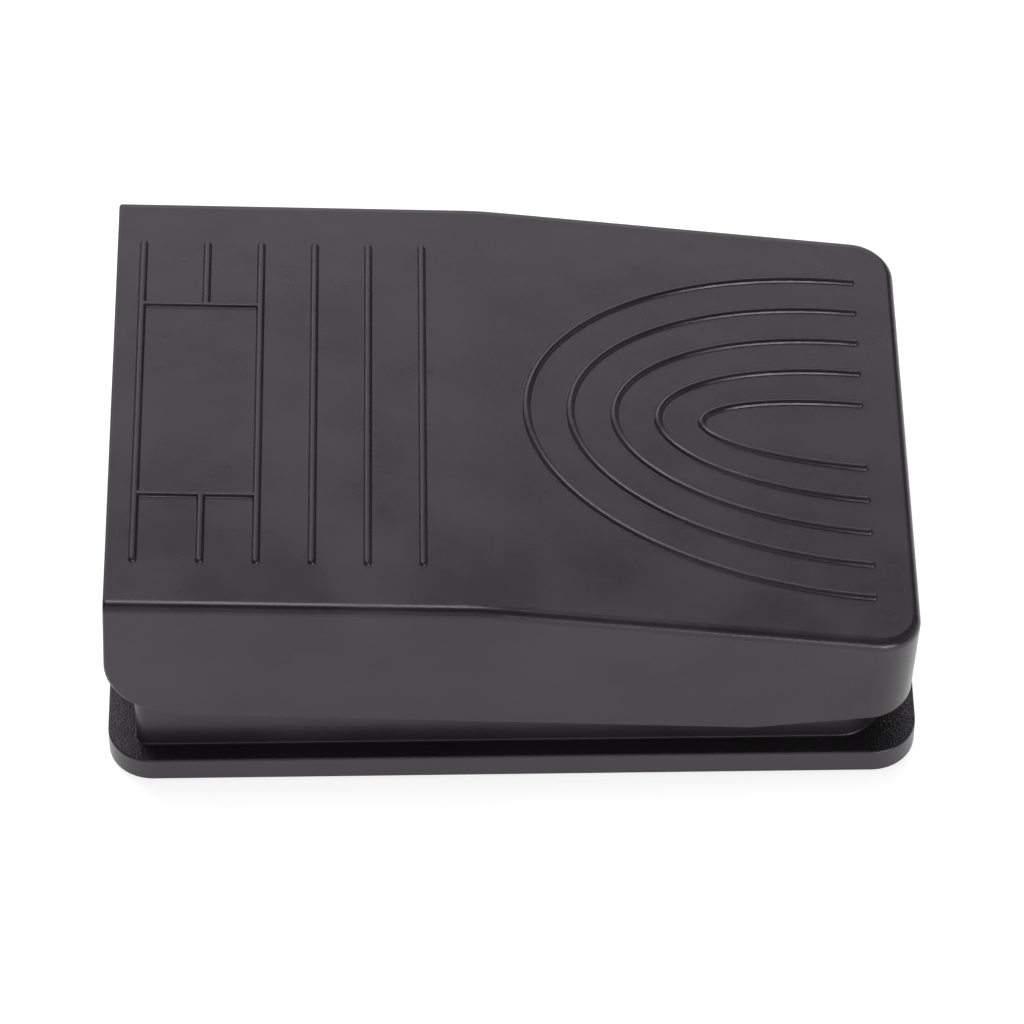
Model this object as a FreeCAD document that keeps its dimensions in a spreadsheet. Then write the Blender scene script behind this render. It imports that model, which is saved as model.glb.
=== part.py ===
"""Sustain pedal: a hinged foot switch with a moulded cover, a flanged base and a snap switch inside.

Frame: +X towards the thin, hinged end, +Y to the far side, +Z up. The origin is under the middle of the
base, on the surface that the rubber feet stand on. Millimetres and degrees. The pedal is modelled released.
"""
import FreeCAD, Part

import math
import os
import re

import Sketcher
from FreeCAD import Placement, Rotation, Vector

# ---------------------------------------------------------------- driving dimensions

SIZES = {
    # base
    "base_length": 100.0,
    "base_width": 68.6,
    "base_corner": 5.6,
    "foot_gap": 0.7,           # flange underside above the floor
    "flange_height": 3.46,
    "flange_edge": 0.3,
    "upstand_back": -46.4,     # outer face at the thick end
    "upstand_front": 45.4,     # outer face at the thin end
    "upstand_width": 63.2,
    "upstand_high": 23.7,      # top at the thick end
    "upstand_low": 17.7,       # top at the thin end
    "base_wall": 2.0,
    "foot_fillet": 0.25,
    # cover, in its own frame: u from the thick end, w up from its top face
    "cover_x": -48.93,
    "cover_z": 33.18,
    "cover_tilt": 2.51,
    "cover_length": 99.0,
    "cover_width": 67.1,
    "cover_flat": 45.6,        # length of the level facet
    "cover_slope": 5.85,       # fall of the other facet
    "cover_roof": 2.0,
    "cover_wall": 1.5,
    "crease_round": 40.0,
    "top_round": 1.24,
    "end_round": 0.35,
    "plan_round": 5.4,
    "skirt_depth": 20.45,
    "skirt_kink": 78.5,
    "skirt_fall": 0.75,
    "skirt_rise": 8.93,
    "skirt_round": 9.3,
    "skirt_edge": 0.15,
    "end_wall_depth": 11.5,
    # raised lines on the cover
    "line_crown": 0.5,         # radius of the rounded top
    "line_foot": 0.1,          # radius of the hollow feet
    "line_height": 0.42,
    "line_root": 0.3,          # how far a line reaches into the cover
    "line_reach": 26.0,        # half length of a straight line, without its round ends
    "line_first": 3.35,
    "line_second": 11.38,
    "line_third": 18.16,
    "line_pitch": 6.73,        # from the third line on
    "ridge_y": 15.62,          # the two cross ridges, which frame a rectangle
    "ridge_half": 0.28,
    "ridge_height": 0.4,
    "ridge_edge": 0.2,
    "ridge_foot": 0.18,
    "arch_end": 93.3,          # without the round ends
    "arch_count": 5,
    "arch_length": 20.3,       # of the innermost arch
    "arch_growth": 5.5,
    "arch_spacing": 5.22,
    # hinge
    "hinge_x": 38.5,
    "hinge_z": 19.0,
    "pin_size": 1.5,
    "pin_half": 23.0,
    "running_gap": 0.05,
    "lug_size": 3.2,
    "lug_near": 11.5,
    "lug_far": 17.5,
    "lug_mouth": 2.5,
    "bearing_size": 2.6,
    # springs, stops and hooks
    "spring_x": -28.0,
    "spring_y": 15.0,
    "spring_floor": 7.4,
    "spring_height": 22.4,
    "spring_mean": 3.7,
    "spring_wire": 0.45,       # wire radius
    "spring_turns": 8.0,
    "well_bore": 4.9,
    "well_size": 6.0,
    "spigot_size": 2.5,
    "spigot_length": 4.0,
    "hook_x": -39.0,
    "hook_y": 24.2,            # inner face of a hook's leg
    "hook_half": 2.0,
    "hook_thick": 1.8,
    "hook_gap": 0.8,           # from the deck's underside to the catch
    "catch_height": 2.2,
    "catch_reach": 3.9,        # from hook_y to the catch's tip
    "pad_thick": 0.6,
    "bump_x": -41.5,
    "bump_y": 12.0,
    "bump_size": 2.5,
    "bump_height": 1.5,
    "bump_stem": 1.15,
    # stiffening
    "rib_half": 0.6,
    "rib_depth": 1.4,
    "post_half": 1.5,
    "post_web": 0.7,
    # snap switch
    "switch_half": 10.0,
    "switch_near": -3.2,
    "switch_joint": 2.2,       # where the lid meets the case
    "switch_far": 3.2,
    "switch_low": 8.0,
    "switch_high": 18.0,
    "switch_screw_x": 4.75,
    "switch_screw_z": 10.6,
    "switch_hole": 1.15,
    "switch_shank": 1.0,
    "lever_x": -8.6,
    "lever_z": 19.1,
    "lever_angle": 8.5,
    "lever_reach": 17.5,
    "lever_half": 1.7,
    "lever_thick": 0.4,
    "lever_curl": 0.85,
    "lever_bore": 0.5,
    "plunger_x": -3.0,
    "plunger_size": 0.9,
    "plunger_foot": 15.1,
    "post_x": 7.0,
    "blade_x": -8.0,
    "blade_z": 14.3,
    "blade_half": 1.4,
    "blade_thick": 0.3,
    "blade_tip": 6.4,          # middle of the contacts
    "contact_size": 0.9,
    # cord entry
    "gland_z": 10.0,
    "gland_bore": 2.1,
    "gland_neck": 3.4,
    "gland_flange": 4.8,
    "clamp_x": -36.5,
    "clamp_y": 6.5,
    "clamp_half": 9.2,
    "clamp_low": 6.8,
    "clamp_high": 9.0,
    "cord_size": 2.1,
    # underside
    "plate_length": 95.0,
    "plate_width": 63.6,
    "plate_corner": 3.4,
    "plate_low": 0.9,
    "plate_high": 2.4,
    "boss_left": -17.0,
    "boss_right": 25.0,
    "boss_y": 25.5,
    "boss_size": 3.0,
    "screw_size": 1.15,
    "screw_head": 2.5,
    "foot_x": 38.0,
    "foot_y": 21.5,
    "foot_size": 6.0,
    "slot_wide": 0.5,
    "slot_deep": 0.8,
}

# Lengths and angles that follow from the driving dimensions.
RULES = {
    "flange_top": "foot_gap + flange_height",
    "line_half": "sqrt(line_height * (2 * (line_crown + line_foot) - line_height))",
    "deck_fall": "atan((upstand_high - upstand_low) / (upstand_front - upstand_back))",
    "line_fourth": "line_third + line_pitch",
    "line_fifth": "line_fourth + line_pitch",
    "line_sixth": "line_fifth + line_pitch",
    "skirt_kink_depth": "skirt_depth + skirt_kink * tan(skirt_fall)",
    "skirt_end_depth": "skirt_kink_depth - (cover_length - skirt_kink) * tan(skirt_rise)",
    "cover_end_depth": "(cover_length - cover_flat) * tan(cover_slope)",
    "cavity_half": "upstand_width / 2 - base_wall",
    "post_drop": "lever_z + (post_x - lever_x) * tan(lever_angle)",
}

TINY = 1e-3                    # lengths below this count as nothing
SIDES = {"front": "-1", "rear": "1"}

doc = FreeCAD.newDocument("SustainPedal")
sheet = doc.addObject("Spreadsheet::Sheet", "Sizes")
for row, (alias, number) in enumerate(SIZES.items(), start=1):
    sheet.set(f"A{row}", alias)
    sheet.set(f"B{row}", str(number))
    sheet.setAlias(f"B{row}", alias)
doc.recompute()

# ---------------------------------------------------------------- helpers


def formula(text):
    """Turns plain names into cells of the sheet, and derived names into their rules."""
    def cell(match):
        word = match.group(0)
        if word in RULES:
            return f"({formula(RULES[word])})"
        return f"Sizes.{word}" if word in SIZES else word
    return re.sub(r"[a-z_]+", cell, str(text))


def value(text):
    """The number that a formula gives."""
    result = sheet.evalExpression(formula(text))
    return float(getattr(result, "Value", result))


def roof(u):
    """Height of the cover's inner ceiling at u, as a formula in the cover's frame."""
    return f"(-cover_roof - max(0; ({u}) - cover_flat) * tan(cover_slope))"


def cover_u(x, z):
    """A point of the row's frame as u in the cover's frame."""
    return f"((({x}) - cover_x) * cos(cover_tilt) - (({z}) - cover_z) * sin(cover_tilt))"


def cover_w(x, z):
    """A point of the row's frame as w in the cover's frame."""
    return f"((({x}) - cover_x) * sin(cover_tilt) + (({z}) - cover_z) * cos(cover_tilt))"


def deck(x):
    """Height of the sloping deck's top face at x."""
    return f"(upstand_high - (({x}) - upstand_back) * tan(deck_fall))"


def bind(item, **properties):
    """Drives properties of an object from formulas. A double underscore stands for a dot."""
    for name, text in properties.items():
        item.setExpression(name.replace("__", "."), formula(text))
    return item


def place(item, x=0, y=0, z=0, axis=None, angle=0):
    """Puts an object at x, y, z, turned about axis by a fixed angle."""
    if axis is not None:
        item.Placement = Placement(Vector(), Rotation(Vector(*axis), angle))
    return bind(item, Placement__Base__x=x, Placement__Base__y=y, Placement__Base__z=z)


def box(name, x, y, z):
    """A block between pairs of formulas (low, high) along each axis."""
    item = doc.addObject("Part::Box", name)
    sides = [f"({high}) - ({low})" for low, high in (x, y, z)]
    bind(item, Length=sides[0], Width=sides[1], Height=sides[2])
    return place(item, x[0], y[0], z[0])


# Axis and angle of the turn that lays a round primitive along each direction.
TURNS = {"+X": ((0, 1, 0), 90), "+Y": ((1, 0, 0), -90), "+Z": ((0, 0, 1), 0)}


def rod(name, radius, length, x, y, z, direction="+Z"):
    """A cylinder from x, y, z along a direction."""
    item = doc.addObject("Part::Cylinder", name)
    bind(item, Radius=radius, Height=length)
    return place(item, x, y, z, *TURNS[direction])


def cone(name, low, high, length, x, y, z, direction="+Z"):
    """A cone from x, y, z along a direction, with its radii at the two ends."""
    item = doc.addObject("Part::Cone", name)
    bind(item, Radius1=low, Radius2=high, Height=length)
    return place(item, x, y, z, *TURNS[direction])


def join(name, items):
    """Fuses objects into one solid."""
    if len(items) == 1:
        return items[0]
    item = doc.addObject("Part::MultiFuse", name)
    item.Shapes = items
    item.Refine = True
    return item


def gather(name, items):
    """Keeps separate solids together in one object, as for a set of like screws."""
    item = doc.addObject("Part::Compound", name)
    item.Links = items
    return item


def cut(name, base, tools):
    """Takes tools away from base."""
    item = doc.addObject("Part::Cut", name)
    item.Base = base
    item.Tool = join(f"{name}_tools", tools)
    item.Refine = True
    return item


def chamfered(name, base, size, chosen):
    """Bevels the edges of base that chosen picks."""
    doc.recompute()
    item = doc.addObject("Part::Chamfer", name)
    item.Base = base
    width = value(size)
    picked = [i for i, edge in enumerate(base.Shape.Edges, start=1) if chosen(edge)]
    item.Edges = [(i, width, width) for i in picked]
    return item


def new_body(name):
    """An empty PartDesign body."""
    return doc.addObject("PartDesign::Body", name)


def outline(body, name, plane, corners, height=None):
    """A closed sketch of straight sides, with every corner driven from the sheet."""
    sketch = body.newObject("Sketcher::SketchObject", name)
    support = next(item for item in body.Origin.OriginFeatures if item.Role == plane)
    sketch.AttachmentSupport = [(support, "")]
    sketch.MapMode = "FlatFace"
    if height is not None:
        bind(sketch, AttachmentOffset__Base__z=height)
    points = [Vector(value(x), value(y), 0) for x, y in corners]
    count = len(points)
    for i, point in enumerate(points):
        sketch.addGeometry(Part.LineSegment(point, points[(i + 1) % count]))
    for i in range(count):
        sketch.addConstraint(Sketcher.Constraint("Coincident", i, 2, (i + 1) % count, 1))
    for i, corner in enumerate(corners):
        sides = (("DistanceX", corner[0], points[i].x, -2), ("DistanceY", corner[1], points[i].y, -1))
        for kind, text, number, axis in sides:
            if abs(number) < TINY:
                sketch.addConstraint(Sketcher.Constraint("PointOnObject", i, 1, axis))
            else:
                index = sketch.addConstraint(Sketcher.Constraint(kind, -1, 1, i, 1, number))
                sketch.setExpression(f"Constraints[{index}]", formula(text))
    return sketch


def pad(body, name, sketch, length, both_ways=False):
    """Adds material along the sketch's normal."""
    item = body.newObject("PartDesign::Pad", name)
    item.Profile = sketch
    item.SideType = "Symmetric" if both_ways else "One side"
    return bind(item, Length=length)


def pocket(body, name, sketch, length, both_ways=False, upward=False):
    """Takes material away, and stops if nothing was cut."""
    doc.recompute()
    before = body.Shape.Volume
    item = body.newObject("PartDesign::Pocket", name)
    item.Profile = sketch
    item.SideType = "Symmetric" if both_ways else "One side"
    item.Reversed = upward
    bind(item, Length=length)
    doc.recompute()
    if body.Shape.Volume > before - 0.01:
        raise RuntimeError(f"{name} cuts nothing")
    return item


def rounding(body, name, radius, chosen):
    """Rounds the edges of the body that chosen picks."""
    doc.recompute()
    edges = [f"Edge{i}" for i, edge in enumerate(body.Shape.Edges, start=1) if chosen(edge)]
    if not edges:
        raise RuntimeError(f"{name} finds no edge")
    item = body.newObject("PartDesign::Fillet", name)
    item.Base = (item.BaseFeature, edges)
    return bind(item, Radius=radius)


def upright(edge):
    """True for a straight edge along Z that is longer than a rounding."""
    span = edge.BoundBox
    return span.XLength < TINY and span.YLength < TINY and span.ZLength > 0.5


NODES = []


def node(item, label):
    """Names a finished sub-part."""
    item.Label = label
    NODES.append(item)
    return item


def mirrored_pair(make):
    """Builds the near (front) and far (rear) copy of something and lists the two."""
    return [make(label, side) for label, side in SIDES.items()]


def band(side, near, far):
    """The pair (low, high) of a stretch near..far from the middle on one side."""
    low, high = (near, far) if side == "1" else (far, near)
    return (f"{side} * ({low})", f"{side} * ({high})")


# ---------------------------------------------------------------- pedal cover


def cover_shell():
    """The cap: two facets on top, walls all round, with the lower edge stepped up at the thin end."""
    body = new_body("cover_shell")
    side = outline(body, "cover_side", "XZ_Plane", [
        ("0", "0"),
        ("cover_flat", "0"),
        ("cover_length", "-cover_end_depth"),
        ("cover_length", "-skirt_end_depth"),
        ("skirt_kink", "-skirt_kink_depth"),
        ("0", "-skirt_depth"),
    ])
    pad(body, "cover_block", side, "cover_width", both_ways=True)
    length, flat, depth = value("cover_length"), value("cover_flat"), value("skirt_depth")

    def across(edge, u, w):
        span = edge.BoundBox
        return span.YLength > length / 2 and abs(span.Center.x - u) < 0.01 and abs(span.Center.z - w) < 0.01

    def middle(edge):
        return edge.valueAt((edge.FirstParameter + edge.LastParameter) / 2)

    def on_top(edge):
        point = middle(edge)
        fall = max(0.0, point.x - flat) * value("tan(cover_slope)")
        inside = abs(point.y) < value("cover_width / 2 - plan_round") and point.x < length - 1
        return abs(point.z + fall) < 0.3 and point.x > 0.01 and not inside

    def on_skirt(edge):
        return middle(edge).z < -value("skirt_end_depth") + 0.1 and not upright(edge)

    rounding(body, "crease", "crease_round", lambda edge: across(edge, flat, 0))
    rounding(body, "skirt_corner", "skirt_round", lambda edge: across(edge, 0, -depth))
    rounding(body, "plan_corners", "plan_round",
             lambda edge: upright(edge) and edge.BoundBox.XMin > length - 1)
    rounding(body, "top_edges", "top_round", on_top)
    rounding(body, "thick_end_edge", "end_round", lambda edge: across(edge, 0, 0))
    rounding(body, "skirt_edges", "skirt_edge", on_skirt)
    return body


def cover_core():
    """The space inside the cap, as a solid to take away."""
    body = new_body("cover_core")
    inner = outline(body, "core_side", "XZ_Plane", [
        ("cover_wall", "-cover_roof"),
        ("cover_flat", "-cover_roof"),
        ("cover_length - cover_wall", roof("cover_length - cover_wall")),
        ("cover_length - cover_wall", "-2 * skirt_depth"),
        ("cover_wall", "-2 * skirt_depth"),
    ])
    pad(body, "core_block", inner, "cover_width - 2 * cover_wall", both_ways=True)
    inside = value("cover_length - cover_wall")
    rounding(body, "core_corners", "plan_round - cover_wall",
             lambda edge: upright(edge) and abs(edge.BoundBox.XMin - inside) < 0.01)
    return body


def cover_lug(label, side):
    """A hinge ear with an open mouth, which snaps over the pin from above."""
    u, w = cover_u("hinge_x", "hinge_z"), cover_w("hinge_x", "hinge_z")
    near, far = band(side, "lug_near", "lug_far")
    stem = box(f"lug_stem_{label}", (f"{u} - lug_size", f"{u} + lug_size"), (near, far),
               (w, f"{roof(u)} + 1"))
    eye = rod(f"lug_eye_{label}", "lug_size", "lug_far - lug_near", u, near, w, "+Y")
    bore = rod(f"lug_bore_{label}", "pin_size + running_gap", "lug_far - lug_near + 2", u,
               f"{near} - 1", w, "+Y")
    mouth = box(f"lug_mouth_{label}", (f"{u} - lug_mouth / 2", f"{u} + lug_mouth / 2"),
                (f"{near} - 1", f"{far} + 1"), (f"{w} - lug_size - 1", w))
    return cut(f"lug_{label}", join(f"lug_solid_{label}", [stem, eye]), [bore, mouth])


def cover_hook(label, side):
    """A leg through the deck, with a catch that stops the cover from rising past its rest."""
    top = f"{deck('hook_x')} - base_wall - hook_gap"
    u, w = cover_u("hook_x", top), cover_w("hook_x", top)
    leg = box(f"hook_leg_{label}", (f"{u} - hook_half", f"{u} + hook_half"),
              band(side, "hook_y", "hook_y + hook_thick"), (f"{w} - catch_height", "1 - cover_roof"))
    root = box(f"hook_root_{label}", (f"{u} - 1.3 * hook_half", f"{u} + 1.3 * hook_half"),
               band(side, "hook_y - 0.8", "hook_y + hook_thick + 0.4"),
               ("-cover_roof - 1.2", "1 - cover_roof"))
    catch = box(f"hook_catch_{label}", (f"{u} - hook_half", f"{u} + hook_half"),
                band(side, "hook_y + 1", "hook_y + catch_reach"), (f"{w} - catch_height", w))
    return join(f"hook_{label}", [leg, root, catch])


def cover_spigot(label, side):
    """A round peg inside the top of a return spring."""
    peg = rod(f"spigot_peg_{label}", "spigot_size", "spigot_length + 0.5", cover_u("spring_x", "cover_z"),
              f"{side} * spring_y", "-cover_roof - spigot_length")
    return chamfered(f"spigot_{label}", peg, "0.5", lambda edge: edge.BoundBox.ZLength < TINY)


RIB_LINES = ("-21", "-7.5", "7.5", "21")
RIB_CROSSINGS = ("32", "56", "79")


def cover_ribs():
    """Stiffening ribs under the top, and the cross-shaped post that works the switch."""
    u = cover_u("post_x", "post_drop")
    height = (cover_w("post_x", "post_drop + 0.65"), f"{roof(u)} + 1")
    long_side, short_side = "post_half", "post_web"
    ribs = []
    for name, along, across in (("along", long_side, short_side), ("across", short_side, long_side)):
        ribs.append(box(f"post_{name}", (f"{u} - {along}", f"{u} + {along}"), (f"-{across}", across), height))
    for index, y in enumerate(RIB_LINES, start=1):
        ribs.append(box(f"rib_flat_{index}", ("14", "cover_flat"), (f"{y} - rib_half", f"{y} + rib_half"),
                        ("-cover_roof - rib_depth", "0.6 - cover_roof")))
        falling = box(f"rib_falling_{index}", ("0", "34"), ("0", "2 * rib_half"), ("0", "rib_depth + 0.6"))
        place(falling, "cover_flat - 0.2", f"{y} - rib_half", "-cover_roof - rib_depth", (0, 1, 0),
              value("cover_slope"))
        ribs.append(falling)
    for index, at in enumerate(RIB_CROSSINGS, start=1):
        ribs.append(box(f"rib_across_{index}", (f"{at} - rib_half", f"{at} + rib_half"),
                        ("1 - cover_width / 2", "cover_width / 2 - 1"),
                        (f"{roof(at)} - 1.6", f"{roof(at)} + 0.8")))
    return ribs


def rounded(start, end, centre, radius):
    """The shorter arc from start to end about centre."""
    middle = (start + end) * 0.5 - centre
    return Part.Arc(start, centre + middle * (radius / middle.Length), end).toShape()


def closed(edges):
    """A wire of edges given in any order."""
    return Part.Wire(Part.__sortEdges__(edges))


def line_section(sides):
    """A raised line's cross-section in the YZ plane: a rounded crown on hollow feet, with a root. Sides are -1, 1."""
    crown, foot, height = value("line_crown"), value("line_foot"), value("line_height")
    half, root = value("line_half"), value("line_root")
    middle = Vector(0, 0, height - crown)
    peak, base = Vector(0, 0, height), Vector(0, 0, -root)
    edges = []
    for side in sides:
        foot_middle = Vector(0, side * half, foot)
        turn = middle + (foot_middle - middle) * (crown / (crown + foot))
        ground = Vector(0, side * half, 0)
        bottom = Vector(0, side * half, -root)
        edges += [rounded(peak, turn, middle, crown), rounded(turn, ground, foot_middle, foot),
                  Part.makeLine(ground, bottom), Part.makeLine(bottom, base)]
    if len(sides) == 1:
        edges.append(Part.makeLine(base, peak))
    return closed(edges)


def raised_line(path, ends=(True, True)):
    """Sweeps the section along a flat path, and rounds off either end."""
    profile = line_section((-1, 1))
    profile.Placement = Placement(path.valueAt(path.FirstParameter),
                                  Rotation(Vector(1, 0, 0), path.tangentAt(path.FirstParameter)))
    solid = Part.Wire([path]).makePipeShell([profile], True, True)
    for (parameter, outward), is_round in zip(((path.FirstParameter, -1), (path.LastParameter, 1)), ends):
        if is_round:
            end = Part.Face(line_section((-1,))).revolve(Vector(0, 0, 0), Vector(0, 0, 1), 180)
            heading = path.tangentAt(parameter) * outward
            end.Placement = Placement(path.valueAt(parameter), Rotation(Vector(1, 0, 0), heading))
            solid = solid.fuse(end)
    return solid


def cover_lines():
    """All the raised lines: the arches and the straight ones, the second of them interrupted."""
    reach, ridge, second = value("line_reach"), value("ridge_y"), value("line_second")
    lines = []
    for rank in ("first", "third", "fourth", "fifth", "sixth"):
        u = value(f"line_{rank}")
        lines.append(raised_line(Part.makeLine(Vector(u, -reach, 0), Vector(u, reach, 0))))
    for side in (-1, 1):
        path = Part.makeLine(Vector(second, side * ridge, 0), Vector(second, side * reach, 0))
        lines.append(raised_line(path, (False, True)))
    slope = Placement(Vector(value("cover_flat"), 0, 0), Rotation(Vector(0, 1, 0), value("cover_slope")))
    centre = Vector(value("(arch_end - cover_flat) / cos(cover_slope)"), 0, 0)
    for index in range(int(value("arch_count"))):
        along = value("arch_length") + index * value("arch_growth")
        across = (index + 1) * value("arch_spacing")
        arch = Part.ArcOfEllipse(Part.Ellipse(centre, along, across), 0.5 * math.pi, 1.5 * math.pi)
        line = raised_line(arch.toShape())
        line.Placement = slope.multiply(line.Placement)
        lines.append(line)
    item = doc.addObject("Part::Feature", "cover_lines")
    item.Shape = Part.makeCompound(lines)
    return item


def ridge_section():
    """A ridge's cross-section in the YZ plane, with rounded edges, hollow feet and a root."""
    half, height = value("ridge_half"), value("ridge_height")
    edge, foot, root = value("ridge_edge"), value("ridge_foot"), -value("line_root")
    edges, tops, roots = [], [], []
    for side in (-1, 1):
        base = Vector(0, side * (half + foot), root)
        ground = Vector(0, side * (half + foot), 0)
        rise = Vector(0, side * half, foot)
        shoulder = Vector(0, side * half, height - edge)
        top = Vector(0, side * (half - edge), height)
        foot_centre = Vector(0, side * (half + foot), foot)
        edge_centre = Vector(0, side * (half - edge), height - edge)
        edges += [Part.makeLine(base, ground), rounded(ground, rise, foot_centre, foot),
                  Part.makeLine(rise, shoulder), rounded(shoulder, top, edge_centre, edge)]
        tops.append(top)
        roots.append(base)
    return closed(edges + [Part.makeLine(*tops), Part.makeLine(*roots)])


def cover_ridges():
    """The two ridges that run across the cover from the first straight line to the third."""
    start = value("line_first")
    reach = value("line_third") - start
    ridges = []
    for side in (-1, 1):
        ridge = Part.Face(ridge_section()).extrude(Vector(reach, 0, 0))
        ridge.translate(Vector(start, side * value("ridge_y"), 0))
        ridges.append(ridge)
    item = doc.addObject("Part::Feature", "cover_ridges")
    item.Shape = Part.makeCompound(ridges)
    return item


def pedal_cover():
    """The whole cover, tilted to where it rests."""
    inside = "(cover_width / 2 - cover_wall)"
    step = box("end_wall_step", ("-1", "cover_wall + 1"), (f"-{inside}", inside),
               ("-2 * skirt_depth", "-end_wall_depth"))
    parts = [cut("cover_cap", cover_shell(), [cover_core(), step])] + cover_ribs()
    for make in (cover_lug, cover_hook, cover_spigot):
        parts += mirrored_pair(make)
    cover = join("cover_dressed", parts + [cover_lines(), cover_ridges()])
    place(cover, "cover_x", "0", "cover_z", (0, 1, 0), value("cover_tilt"))
    node(cover, "pedal_cover")


# ---------------------------------------------------------------- base


def housing_shell():
    """Flange and upstand, open underneath, with a sloping deck."""
    body = new_body("housing_shell")
    half_length, half_width = "base_length / 2", "base_width / 2"
    plan = outline(body, "flange_plan", "XY_Plane", [
        (f"-{half_length}", f"-{half_width}"),
        (half_length, f"-{half_width}"),
        (half_length, half_width),
        (f"-{half_length}", half_width),
    ], height="foot_gap")
    pad(body, "flange", plan, "flange_height")
    rounding(body, "flange_corners", "base_corner", upright)
    side = outline(body, "upstand_side", "XZ_Plane", [
        ("upstand_back", "flange_top - 1"),
        ("upstand_front", "flange_top - 1"),
        ("upstand_front", "upstand_low"),
        ("upstand_back", "upstand_high"),
    ])
    pad(body, "upstand", side, "upstand_width", both_ways=True)
    top, front, back = value("flange_top"), value("upstand_front"), value("upstand_back")
    wall, half = value("base_wall"), value("upstand_width / 2")

    def standing(edge, x):
        return upright(edge) and edge.BoundBox.ZMax > top + 1 and abs(edge.BoundBox.XMin - x) < 0.01

    def at_height(edge, height):
        return abs(edge.BoundBox.ZMin - height) < TINY and abs(edge.BoundBox.ZMax - height) < TINY

    def around_upstand(edge):
        span = edge.BoundBox
        reach = max(-span.YMin, span.YMax)
        return back - 0.01 < span.XMin and span.XMax < front + 0.01 and reach < half + 0.01

    def around_deck(edge):
        middle = edge.valueAt((edge.FirstParameter + edge.LastParameter) / 2)
        return abs(middle.z - value(deck(middle.x))) < 0.05 and around_upstand(edge)

    rounding(body, "thin_corners", "5", lambda edge: standing(edge, front))
    rounding(body, "thick_corners", "1.5", lambda edge: standing(edge, back))
    rounding(body, "upstand_foot", "foot_fillet", lambda edge: at_height(edge, top) and around_upstand(edge))
    rounding(body, "deck_edge", "0.9", around_deck)
    rounding(body, "flange_edges", "flange_edge",
             lambda edge: at_height(edge, top) and not around_upstand(edge))
    hollow = outline(body, "hollow_side", "XZ_Plane", [
        ("upstand_back + base_wall", "-1"),
        ("upstand_front - base_wall", "-1"),
        ("upstand_front - base_wall", deck("upstand_front - base_wall") + " - base_wall"),
        ("upstand_back + base_wall", deck("upstand_back + base_wall") + " - base_wall"),
    ])
    pocket(body, "hollow", hollow, "2 * cavity_half", both_ways=True)
    rounding(body, "hollow_corners", "5 - base_wall", lambda edge: standing(edge, front - wall))
    recess = outline(body, "recess_plan", "XY_Plane", [
        ("-plate_length / 2 - 0.2", "-plate_width / 2 - 0.2"),
        ("plate_length / 2 + 0.2", "-plate_width / 2 - 0.2"),
        ("plate_length / 2 + 0.2", "plate_width / 2 + 0.2"),
        ("-plate_length / 2 - 0.2", "plate_width / 2 + 0.2"),
    ], height="foot_gap")
    pocket(body, "recess", recess, "plate_high - foot_gap", upward=True)
    inside = value("plate_length / 2 + 0.2")
    rounding(body, "recess_corners", "plate_corner + 0.2",
             lambda edge: upright(edge) and abs(abs(edge.BoundBox.XMin) - inside) < 0.01)
    return body


BOSSES = [(x, y) for x in ("boss_left", "boss_right") for y in ("-boss_y", "boss_y")]
BEARINGS = {"front": ("-22.6", "-19.2"), "middle": ("-3", "3"), "rear": ("19.2", "22.6")}


def housing_additions():
    """What stands on or hangs from the deck inside the housing."""
    parts = []
    for index, (x, y) in enumerate(BOSSES, start=1):
        parts.append(rod(f"boss_{index}", "boss_size", f"{deck(x)} - plate_high - 0.6", x, y, "plate_high"))
    for label, y in BEARINGS.items():
        parts.append(box(f"bearing_{label}", ("hinge_x - bearing_size", "hinge_x + bearing_size"), y,
                         (f"{deck('hinge_x')} - 1", "hinge_z")))
        parts.append(rod(f"bearing_top_{label}", "bearing_size", f"({y[1]}) - ({y[0]})", "hinge_x", y[0],
                         "hinge_z", "+Y"))
    for tag, side in SIDES.items():
        parts.append(rod(f"well_{tag}", "well_size", f"{deck('spring_x')} - spring_floor + 0.8",
                         "spring_x", f"{side} * spring_y", "spring_floor - 1.4"))
        parts.append(rod(f"clamp_post_{tag}", "2.7", f"{deck('clamp_x')} - clamp_high - 1", "clamp_x",
                         f"{side} * clamp_y", "clamp_high + 0.05"))
        parts.append(rod(f"bracket_boss_{tag}", "2.3", "8", f"{side} * switch_screw_x", "switch_far + 0.05",
                         "switch_screw_z", "+Y"))
    parts.append(box("clamp_saddle", ("clamp_x - 1", "clamp_x + 1"), ("-clamp_y", "clamp_y"),
                     ("clamp_high + 2", f"{deck('clamp_x')} - 1")))
    parts.append(box("switch_bracket", ("-switch_half", "switch_half"),
                     ("switch_far + 0.05", "switch_far + 2.05"),
                     ("switch_low - 0.5", f"{deck('switch_half')} - 0.6")))
    return parts


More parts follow.
